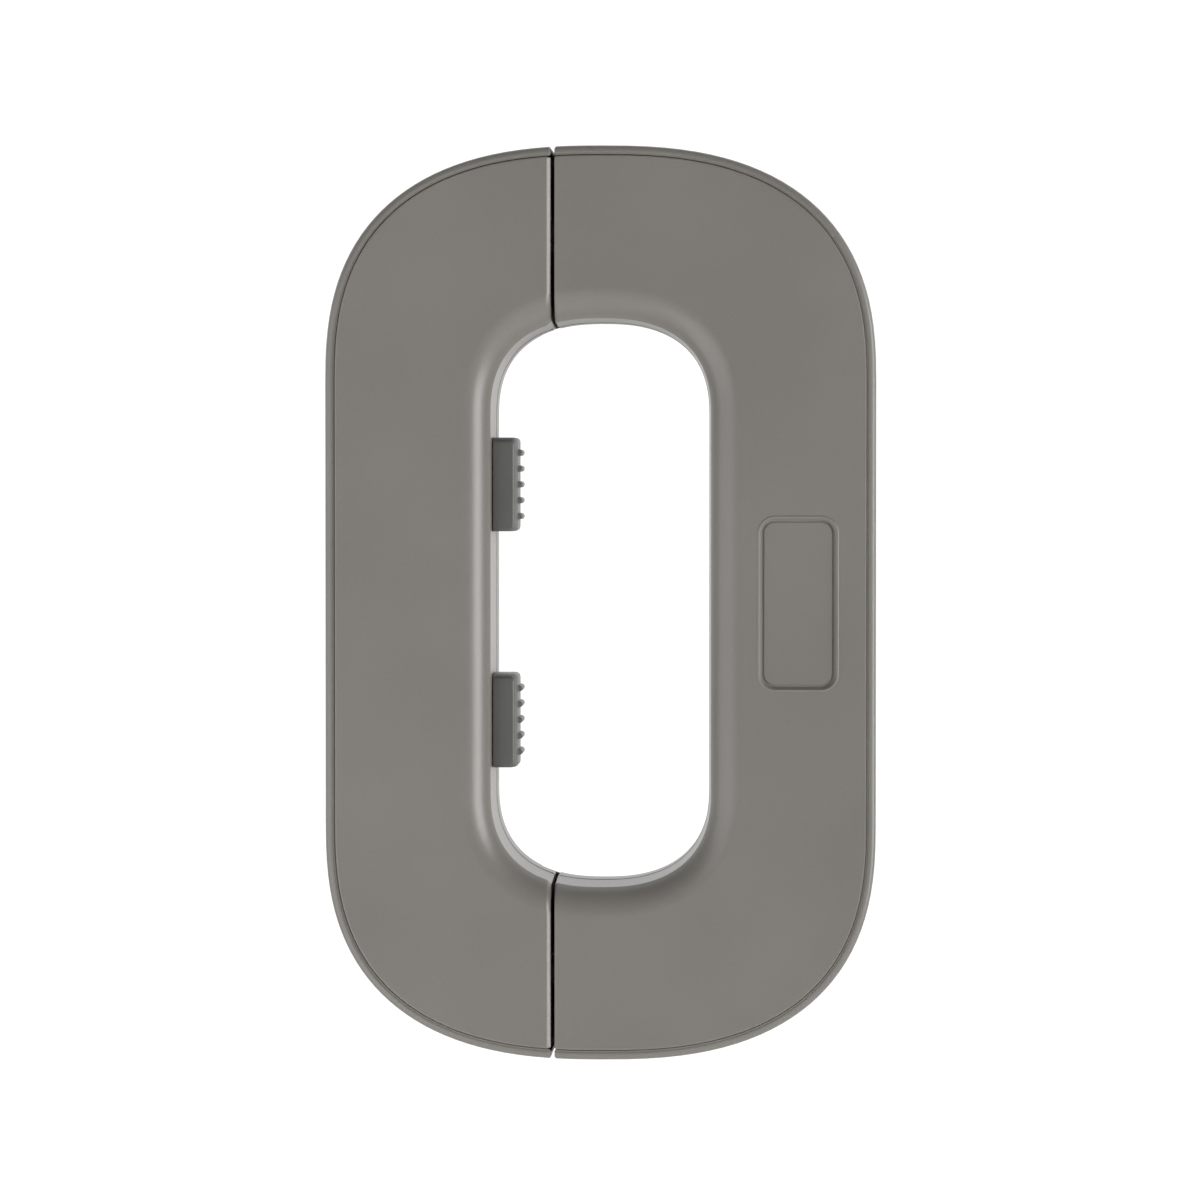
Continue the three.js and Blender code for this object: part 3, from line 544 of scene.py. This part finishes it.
trayPiece = {
    "backRound": 0.4, "endRound": (0.3, 0.3), "lipRound": 0.25, "innerRound": 0.12,
    "ledgeDrop": 0.12, "ledgeGap": 0.06, "ledgeDepth": 2.0, "rootInto": 1.2, "cutPast": 1.0,
    "bossRadius": 2.9, "bossY": -5.9, "holeRadius": 1.35, "headRadius": 2.5, "headY": -2.45,
    "flangeReach": 2.4, "flangeThickness": 1.0, "flangeInset": 0.15, "flangeBack": 0.02,
    "flangeRoot": (-1.0, 0.2, 1.6), "pocketLeft": -24.65, "stop": 9.4,
    "guide": 1.6, "guideStart": 9.5, "guideTop": 47.45,
}
detent = {
    "centre": 32.0, "x": -25.05, "window": 5.4, "end": 9.0, "spread": 1.9, "half": 0.55,
    "width": 4.0, "postRise": 3.0, "grooveRise": 4.0, "groovePast": 1.0,
}
rimY = body["faceY"] + body["rimDrop"]
trayRoot = body["floorY"] + trayPiece["rootInto"]
lipInto, lipThickness = body["lipInto"], body["lipThickness"]
ledgeY, ledgeEdge = rimY + trayPiece["ledgeDrop"], coverEdge - trayPiece["ledgeGap"]
ledgeBackY = ledgeY + trayPiece["ledgeDepth"]
trayProfile = roundedProfile([
    (ringShape, 0.0, body["backY"], trayPiece["backRound"]),
    (ringShape, 0.0, rimY, body["rimRound"]),
    (ringShape, body["rimWidth"], rimY, trayPiece["innerRound"]),
    (ringShape, body["rimWidth"], ledgeY, 0),
    (ringShape, ledgeEdge, ledgeY, 0),
    (ringShape, ledgeEdge, ledgeBackY, 0),
    (ringShape, body["rimWidth"], ledgeBackY, 0),
    (ringShape, body["rimWidth"], body["floorY"], 0),
    (openShape, lipInto + lipThickness, body["floorY"], 0),
    (openShape, lipInto + lipThickness, lipY, trayPiece["innerRound"]),
    (openShape, lipInto, lipY, trayPiece["lipRound"]),
    (openShape, lipInto, body["backY"], trayPiece["backRound"]),
])


def addFlange(obj):
    # thin flange that closes the door line from behind
    frontY = body["backY"] - trayPiece["flangeThickness"]
    behindY = body["backY"] - trayPiece["flangeBack"]
    edge = trayPiece["flangeInset"]
    flange = [(ringShape, edge, behindY), (ringShape, edge, frontY),
              (openShape, lipInto + edge, frontY), (openShape, lipInto + edge, behindY)]
    bm = bmesh.new()
    for way in (1, -1):
        strip = bmesh.new()
        sections = []
        for x in (-trayPiece["flangeReach"],) + trayPiece["flangeRoot"]:
            spots = []
            for shape, into, y in flange:
                spots.append((x, y, outlinePoint(shape, into, angleAt(shape, into, x), -1, way)[1]))
            sections.append(spots)
        loftSections(strip, sections)
        part = bpy.data.meshes.new("strip")
        strip.to_mesh(part)
        strip.free()
        bm.from_mesh(part)
        bpy.data.meshes.remove(part)
    carve(obj, bm, "UNION")


def addBoltChannel(obj):
    stop, guideTop = trayPiece["stop"], trayPiece["guideTop"]
    left, right = boltPlace["left"], boltPlace["right"]
    fit = body["fit"]
    bm = bmesh.new()
    roundBox(bm, (left, boltPlace["frontY"], -stop), (right, trayRoot, stop))  # stops the bolts' inner ends
    carve(obj, bm, "UNION")
    bm = bmesh.new()  # bed that the bolts slide on
    roundBox(bm, (left + fit, boltPlace["backY"] + fit, -guideTop), (right - fit, trayRoot, guideTop))
    carve(obj, bm, "UNION")
    # guide rails with a window for each spring, and posts with grooves that hold its ends
    rails = bmesh.new()
    posts = bmesh.new()
    grooves = bmesh.new()
    guide = (left - fit - trayPiece["guide"], left - fit)
    window = (detent["centre"] - detent["window"], detent["centre"] + detent["window"])
    reach = detent["half"] + trayPiece["guide"]
    postY = boltPlace["midY"] - detent["postRise"]
    grooveY = (boltPlace["midY"] - detent["grooveRise"], boltPlace["midY"] + detent["width"] / 2 + fit)
    for way in (1, -1):
        for low, high in [(trayPiece["guideStart"], window[0]), (window[1], guideTop)]:
            z0, z1 = zSpan(way, low, high)
            roundBox(rails, (guide[0], boltPlace["frontY"], z0), (guide[1], trayRoot, z1))
        for end in (1, -1):
            tip = detent["centre"] + end * detent["end"]
            z0, z1 = zSpan(way, tip - detent["spread"], tip + detent["spread"])
            roundBox(posts, (detent["x"] - reach, postY, z0), (detent["x"] + reach, trayRoot, z1))
            inside = tip - end * (detent["spread"] + detent["groovePast"])
            z0, z1 = zSpan(way, inside, tip + end * fit)
            roundBox(grooves, (detent["x"] - detent["half"], grooveY[0], z0),
                     (detent["x"] + detent["half"], grooveY[1], z1))
    carve(obj, rails, "UNION")
    carve(obj, posts, "UNION")
    room, pocketY = slots["pocketRoom"], body["floorY"] - trayPiece["cutPast"]
    for way in (1, -1):
        z0, z1 = zSpan(way, slots["tongueLow"] - room, slots["tongueHigh"] + room)
        roundBox(grooves, (trayPiece["pocketLeft"], pocketY, z0), (0, 0, z1))
    carve(obj, grooves, "DIFFERENCE")


def clearFlange(obj):
    # room for the keeper's flange
    fit = body["fit"]
    flangeLeft = -trayPiece["flangeReach"] - fit
    flangeY = body["backY"] - trayPiece["flangeThickness"] - fit
    bm = bmesh.new()
    roundBox(bm, (flangeLeft, flangeY, -body["clearZ"]), (0, trayPiece["cutPast"], body["clearZ"]))
    carve(obj, bm, "DIFFERENCE")


def makeTray(name):
    bm = bmesh.new()
    halfRing(bm, trayProfile, sides[name], body["halfGap"], trayPiece["endRound"])
    obj = newPiece(name + "Tray", bm)
    bm = bmesh.new()
    for x, z in screws[name]:
        roundPost(bm, x, z, trayPiece["bossRadius"], trayPiece["bossY"], trayRoot)
    carve(obj, bm, "UNION")
    if name == "keeper":
        addFlange(obj)
    else:
        addBoltChannel(obj)
        clearFlange(obj)
    holes = screws[name] + (footScrews if name == "keeper" else [])
    holeY = trayPiece["bossY"] - trayPiece["cutPast"]
    for radius, y0 in [(trayPiece["holeRadius"], holeY), (trayPiece["headRadius"], trayPiece["headY"])]:
        bm = bmesh.new()
        for x, z in holes:
            roundPost(bm, x, z, radius, y0, 0)
        carve(obj, bm, "DIFFERENCE")
    finishShading(obj)
    putOn(obj, halfBodies[name], name + "_tray", shellAbs)
    return obj


for half in sides:
    tray = makeTray(half)
    print(tray.name, len(tray.data.polygons), "faces")


# foam tape pads on the trays' backs

padPiece = {
    "margin": 3.0, "frontY": -1.05, "edgeRound": 0.1, "endRound": (0.3, 0.3), "lockEnd": 55.45,
    "cutX": (-60, 20), "cutY": (-5, 5),
}


def makePad(name):
    side = sides[name]
    margin, edge = padPiece["margin"], padPiece["edgeRound"]
    profile = roundedProfile([
        (ringShape, margin, 0.0, edge),
        (ringShape, margin, padPiece["frontY"], edge),
        (openShape, margin, padPiece["frontY"], edge),
        (openShape, margin, 0.0, edge),
    ])
    bm = bmesh.new()
    halfRing(bm, profile, side, body["halfGap"] + margin, padPiece["endRound"])
    obj = newPiece(name + "Pad", bm)
    if name == "lock":
        # cut short of the tongues' pockets
        (x0, x1), (y0, y1) = padPiece["cutX"], padPiece["cutY"]
        bm = bmesh.new()
        for way in (1, -1):
            z0, z1 = zSpan(way, padPiece["lockEnd"], body["clearZ"])
            roundBox(bm, (x0, y0, z0), (x1, y1, z1))
        carve(obj, bm, "DIFFERENCE")
    finishShading(obj)
    putOn(obj, halfBodies[name], name + "_pad", foamTape)
    return obj


for half in sides:
    pad = makePad(half)
    print(pad.name, len(pad.data.polygons), "faces")


# thumb caps: ribbed grip, flared to the back, on a neck through the wall

capPiece = {
    "middle": 19.5, "height": 15.5, "depth": 10.0, "frontY": -16.4, "backX": -9.65,
    "leftX": -10.1, "leftSlope": 0.033, "leftRound": 0.15, "stepDepth": 8.2, "stepRows": (8.1, 8.3),
    "faceX": -6.5, "slope": 0.5, "slopeDepth": 2.2, "slopeCurve": 0.8, "slopeSteps": 4,
    "corner": 0.7, "lowCorner": 0.85, "cornerSteps": 6, "edge": 0.45, "edgeSteps": 4,
    "topCut": 0.5, "topDepth": 1.4, "ribs": 5, "pitch": 2.63, "proud": 0.7, "ribHalf": 0.55,
    "ribCurve": 0.7, "ribRise": ((0.12, 0.75), (0.4, 1)),
    "neck": ((-18.05, -13.6, 14.3), (-9.0, -9.2, 20.3)), "neckRound": 0.3,
    "pilot": 1.32, "pilotZ": 17.3, "pilotLength": 10,
}


def capOutline(depth, grow, out, inset, way):
    # outline of the grip seen from the front, with its ribs;
    # the left side follows the wall, then clears the lip
    c = capPiece
    steps = c["cornerSteps"]
    left = c["backX"] if depth > c["stepDepth"] else c["leftX"] + c["leftSlope"] * depth
    short = max(0, 1 - depth / c["leftRound"])
    left += c["leftRound"] * (1 - math.sqrt(1 - short ** 2))
    middle = c["middle"]
    cut = c["topCut"] * max(0, 1 - depth / c["topDepth"])
    low = middle - c["height"] / 2 + inset + (cut if way < 0 else 0)
    high = middle + c["height"] / 2 - inset - (cut if way > 0 else 0)
    face = c["faceX"] + grow - inset
    spots = [(left, low)]
    for k in range(steps + 1):
        turn = k / steps * math.pi / 2
        z = low + c["lowCorner"] * (1 - math.cos(turn))
        spots.append((face - c["lowCorner"] * (1 - math.sin(turn)), z))
    for i in range(c["ribs"]):
        mid = middle + (i - (c["ribs"] - 1) / 2) * c["pitch"]
        for k in range(steps + 1):
            turn = k / steps * math.pi
            rise = out * c["proud"] * math.sin(turn) ** c["ribCurve"]
            spots.append((face + rise, mid - c["ribHalf"] * math.cos(turn)))
    for k in range(steps + 1):
        turn = (1 - k / steps) * math.pi / 2
        z = high - c["corner"] * (1 - math.cos(turn))
        spots.append((face - c["corner"] * (1 - math.sin(turn)), z))
    spots.append((left, high))
    return [(x, c["frontY"] + depth, way * z) for x, z in spots]


def makeCap(name, way):
    c = capPiece
    # depth from the front, growth of the grip side, rib height, inset of the edges
    rows = []
    edgeSteps, slopeSteps = c["edgeSteps"], c["slopeSteps"]
    for k in range(edgeSteps):
        turn = k / edgeSteps * math.pi / 2
        rows.append((c["edge"] * (1 - math.cos(turn)), 0.0, 0, c["edge"] * (1 - math.sin(turn))))
    for k in range(slopeSteps + 1):
        share = k / slopeSteps
        depth = c["edge"] + (c["slopeDepth"] - c["edge"]) * share
        rows.append((depth, c["slope"] * share ** c["slopeCurve"], 0, 0.0))
    for past, out in c["ribRise"]:
        rows.append((c["slopeDepth"] + past, c["slope"], out, 0.0))
    for depth in c["stepRows"]:
        rows.append((depth, c["slope"], 1, 0.0))
    for k in range(edgeSteps, -1, -1):
        turn = k / edgeSteps * math.pi / 2
        depth = c["depth"] - c["edge"] * (1 - math.cos(turn))
        rows.append((depth, c["slope"], 1, c["edge"] * (1 - math.sin(turn))))
    sections = [capOutline(*row, way) for row in rows]
    bm = bmesh.new()
    loftSections(bm, sections)
    obj = newPiece(name, bm)
    (x0, y0, z0), (x1, y1, z1) = c["neck"]
    z0, z1 = zSpan(way, z0, z1)
    bm = bmesh.new()
    roundBox(bm, (x0, y0, z0), (x1, y1, z1), c["neckRound"])
    carve(obj, bm, "UNION")
    # pilot bore for the cap's screw, from the neck's end
    bm = bmesh.new()
    place = Matrix.Translation((x0 * mm, boltPlace["midY"] * mm, way * c["pilotZ"] * mm))
    bmesh.ops.create_cone(bm, cap_ends=True, segments=24, radius1=c["pilot"] * mm,
                          radius2=c["pilot"] * mm, depth=c["pilotLength"] * mm,
                          matrix=place @ Matrix.Rotation(math.pi / 2, 4, "Y"))
    carve(obj, bm, "DIFFERENCE")
    finishShading(obj, degrees=28)
    return obj


for prefix, way in ends.items():
    cap = makeCap(prefix + "ThumbCap", way)
    putOn(cap, prefix + "_bolt", prefix + "_thumb_cap", capAbs)
    print(cap.name, len(cap.data.polygons), "faces")


# moulded and bent pieces inside: merged copies of the solids, edges eased

insidePieces = {
    "bolt": {"slot": "acetal", "material": acetal, "ease": 0.3},
    "tongue": {"slot": "filled_nylon", "material": filledNylon, "ease": 0.35},
    "detent_spring": {"slot": "spring_steel", "material": springSteel, "ease": 0.08},
}
easedAngles = {"flat": 1, "bevel": 35, "sharp": 40}


def easedCopy(node, name, ease):
    bm = bmesh.new()
    bm.from_mesh(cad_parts[node].data)
    bmesh.ops.remove_doubles(bm, verts=bm.verts, dist=mergeGap * mm)
    bmesh.ops.dissolve_limit(bm, angle_limit=math.radians(easedAngles["flat"]),
                             verts=bm.verts, edges=bm.edges)
    obj = newPiece(name, bm)
    obj.data.materials.clear()
    bevel = obj.modifiers.new("easedEdges", "BEVEL")
    bevel.width = ease * mm
    bevel.segments = 3
    bevel.limit_method = "ANGLE"
    bevel.angle_limit = math.radians(easedAngles["bevel"])
    bevel.harden_normals = False
    for polygon in obj.data.polygons:
        polygon.use_smooth = True
    obj.data.set_sharp_from_angle(angle=math.radians(easedAngles["sharp"]))
    weighted = obj.modifiers.new("evenShading", "WEIGHTED_NORMAL")
    weighted.keep_sharp = True
    return obj


for prefix in ends:
    rides = {"bolt": prefix + "_bolt", "tongue": "keeper", "detent_spring": "lock_half"}
    for kind, look in insidePieces.items():
        node = prefix + "_" + kind
        piece = easedCopy(node, pieceName(node), look["ease"])
        putOn(piece, rides[kind], node, look["material"])
print("bolts, tongues and springs made")


# self-tapping screws: pan head with a cross, thread ridges, driven from behind

screwPiece = {
    "radius": 1.2, "core": 0.9, "pitch": 1.0, "tip": (0.35, 0.9), "threadStart": 1.7, "threadEnd": 1.4,
    "crest": 0.35, "foot": 0.7, "neck": 0.5, "head": 2.2, "headHeight": 1.2, "headEdge": 0.1,
    "headSide": 0.5, "headCurve": [(0.88, 0.9), (0.6, 1.15)],
    "crossArm": 1.2, "crossHalf": 0.3, "crossFloor": 0.5, "crossTop": 2.0,
    "coverLength": 10.0, "tongueLength": 6.0, "capLength": 6.5,
}


def makeScrew(name, node, length, along):
    s = screwPiece
    # half profile, axis along z with the head at the top, then spun
    line = [(0.0, -length), (s["tip"][0], -length + s["tip"][1])]
    z = -length + s["threadStart"]
    while z < -s["threadEnd"]:
        line += [(s["core"], z), (s["radius"], z + s["crest"] * s["pitch"])]
        line.append((s["core"], z + s["foot"] * s["pitch"]))
        z += s["pitch"]
    line += [(s["core"], -s["neck"]), (s["core"], 0.0)]
    line += [(s["head"] - s["headEdge"], 0.0), (s["head"], s["headEdge"]), (s["head"], s["headSide"])]
    line += [(s["head"] * share, rise) for share, rise in s["headCurve"]]
    line.append((0.0, s["headHeight"]))
    bm = bmesh.new()
    verts = [bm.verts.new((r * mm, 0, z * mm)) for r, z in line]
    edges = [bm.edges.new(pair) for pair in zip(verts, verts[1:])]
    bmesh.ops.spin(bm, geom=verts + edges, cent=(0, 0, 0), axis=(0, 0, 1),
                   angle=2 * math.pi, steps=24, use_merge=True)
    bmesh.ops.remove_doubles(bm, verts=bm.verts, dist=mergeGap * mm)
    bmesh.ops.recalc_face_normals(bm, faces=bm.faces)
    low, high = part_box(node)
    if along == "y":
        turn = Matrix.Rotation(-math.pi / 2, 4, "X")
        shift = Vector(((low.x + high.x) / 2, high.y - s["headHeight"] * mm, (low.z + high.z) / 2))
    else:
        turn = Matrix.Rotation(-math.pi / 2, 4, "Y")
        shift = Vector((low.x + s["headHeight"] * mm, (low.y + high.y) / 2, (low.z + high.z) / 2))
    bmesh.ops.transform(bm, matrix=Matrix.Translation(shift) @ turn, verts=bm.verts)
    obj = newPiece(name, bm)
    arm, half = s["crossArm"], s["crossHalf"]
    for x, y in [(arm, half), (half, arm)]:
        cross = bmesh.new()
        roundBox(cross, (-x, -y, s["crossFloor"]), (x, y, s["crossTop"]))
        bmesh.ops.transform(cross, matrix=Matrix.Translation(shift) @ turn, verts=cross.verts)
        carve(obj, cross, "DIFFERENCE")
    finishShading(obj, degrees=40)
    return obj


screwSets = []
for half, rideBody in halfBodies.items():
    for i in screwNumbers["cover"]:
        screwSets.append((half + "_screw_%d" % i, screwPiece["coverLength"], rideBody, "y"))
for prefix in ends:
    for i in screwNumbers["tongue"]:
        screwSets.append((prefix + "_tongue_screw_%d" % i, screwPiece["tongueLength"], "keeper", "y"))
    screwSets.append((prefix + "_cap_screw", screwPiece["capLength"], prefix + "_bolt", "x"))
for node, length, rideBody, along in screwSets:
    screw = makeScrew(pieceName(node), node, length, along)
    putOn(screw, rideBody, node, zincSteel)
print("screws:", len(screwSets))


# floor, light and camera

# plain pale floor, in metres
floorPiece = {"width": 12.0, "frontY": -5.0, "backY": 3.2, "z": -0.6, "colour": "#F6F6F4", "rough": 0.9}
bm = bmesh.new()
depth = floorPiece["backY"] - floorPiece["frontY"]
place = Matrix.Translation((0, (floorPiece["frontY"] + floorPiece["backY"]) / 2, floorPiece["z"]))
bmesh.ops.create_grid(bm, x_segments=4, y_segments=4, size=0.5,
                      matrix=place @ Matrix.Diagonal((floorPiece["width"], depth, 1, 1)))
floor = newPiece("studioFloor", bm)
paper = bpy.data.materials.new("paleStudioPaper")
paper.use_nodes = True
paperShader = paper.node_tree.nodes["Principled BSDF"]  # dull matt paper, no gloss of its own
paperShader.inputs["Base Color"].default_value = hexColour(floorPiece["colour"])
paperShader.inputs["Roughness"].default_value = floorPiece["rough"]
floor.data.materials.append(paper)

# white studio: pure white backdrop, white glow from behind, dim grey from the front
studio = {"back": 1.1, "front": 0.185, "top": 0.1, "glowFrom": (-0.1, 0.35), "dimFrom": (0.15, 0.7)}
world = bpy.data.worlds.new("whiteStudio")
bpy.context.scene.world = world
world.use_nodes = True
tree = world.node_tree
tree.nodes.clear()
ray = addNode(tree, "ShaderNodeLightPath")
rayWay = addNode(tree, "ShaderNodeTexCoord")
split = addNode(tree, "ShaderNodeSeparateXYZ", {"Vector": rayWay.outputs["Generated"]})
glow = addNode(tree, "ShaderNodeMapRange", {"Value": split.outputs["Y"]},
               From_Min=studio["glowFrom"][0], From_Max=studio["glowFrom"][1],
               To_Min=0.0, To_Max=studio["back"])
room = addNode(tree, "ShaderNodeMapRange", {"Value": split.outputs["Z"]},
               From_Min=studio["dimFrom"][0], From_Max=studio["dimFrom"][1],
               To_Min=studio["front"], To_Max=studio["front"] * studio["top"])
shade = addNode(tree, "ShaderNodeMath", {0: glow.outputs["Result"], 1: room.outputs["Result"]},
                operation="MAXIMUM")
level = addNode(tree, "ShaderNodeMath", {0: shade.outputs["Value"], 1: ray.outputs["Is Camera Ray"]},
                operation="MAXIMUM")
backdrop = addNode(tree, "ShaderNodeBackground", {"Strength": level.outputs["Value"]}, Color=(1, 1, 1, 1))
addNode(tree, "ShaderNodeOutputWorld", {"Surface": backdrop.outputs["Background"]})

lights = {
    "keyBox": {"spot": (2.3, -1.2, -0.1), "size": (1.4, 2.0), "power": 65.0},
    "leftFill": {"spot": (-0.5, -0.4, -0.16), "size": (0.8, 0.8), "power": 3.4},
}
lightAim = Vector((0.008, -0.02, 0))
for name, look in lights.items():
    lamp = bpy.data.lights.new(name, "AREA")
    lamp.shape = "RECTANGLE"
    lamp.size, lamp.size_y = look["size"]
    lamp.energy = look["power"]
    holder = bpy.data.objects.new(name, lamp)
    bpy.context.scene.collection.objects.link(holder)
    holder.location = look["spot"]
    towards = lightAim - Vector(look["spot"])
    holder.rotation_euler = towards.to_track_quat("-Z", "Y").to_euler()

cameraPlace = {
    "spot": (0.0386, -0.872, 0.0201), "aim": (0.0078, -0.022, 0.00057), "lens": 155.8, "sensor": 36,
}
lens = bpy.data.cameras.new("photoCamera")
lens.lens = cameraPlace["lens"]
lens.sensor_width = cameraPlace["sensor"]
camera = bpy.data.objects.new("photoCamera", lens)
bpy.context.scene.collection.objects.link(camera)
camera.location = cameraPlace["spot"]
towards = Vector(cameraPlace["aim"]) - Vector(cameraPlace["spot"])
camera.rotation_euler = towards.to_track_quat("-Z", "Y").to_euler()
bpy.context.scene.camera = camera
bpy.context.scene.view_settings.view_transform = "Standard"
print("floor, light and camera set")

bpy.context.view_layer.update()
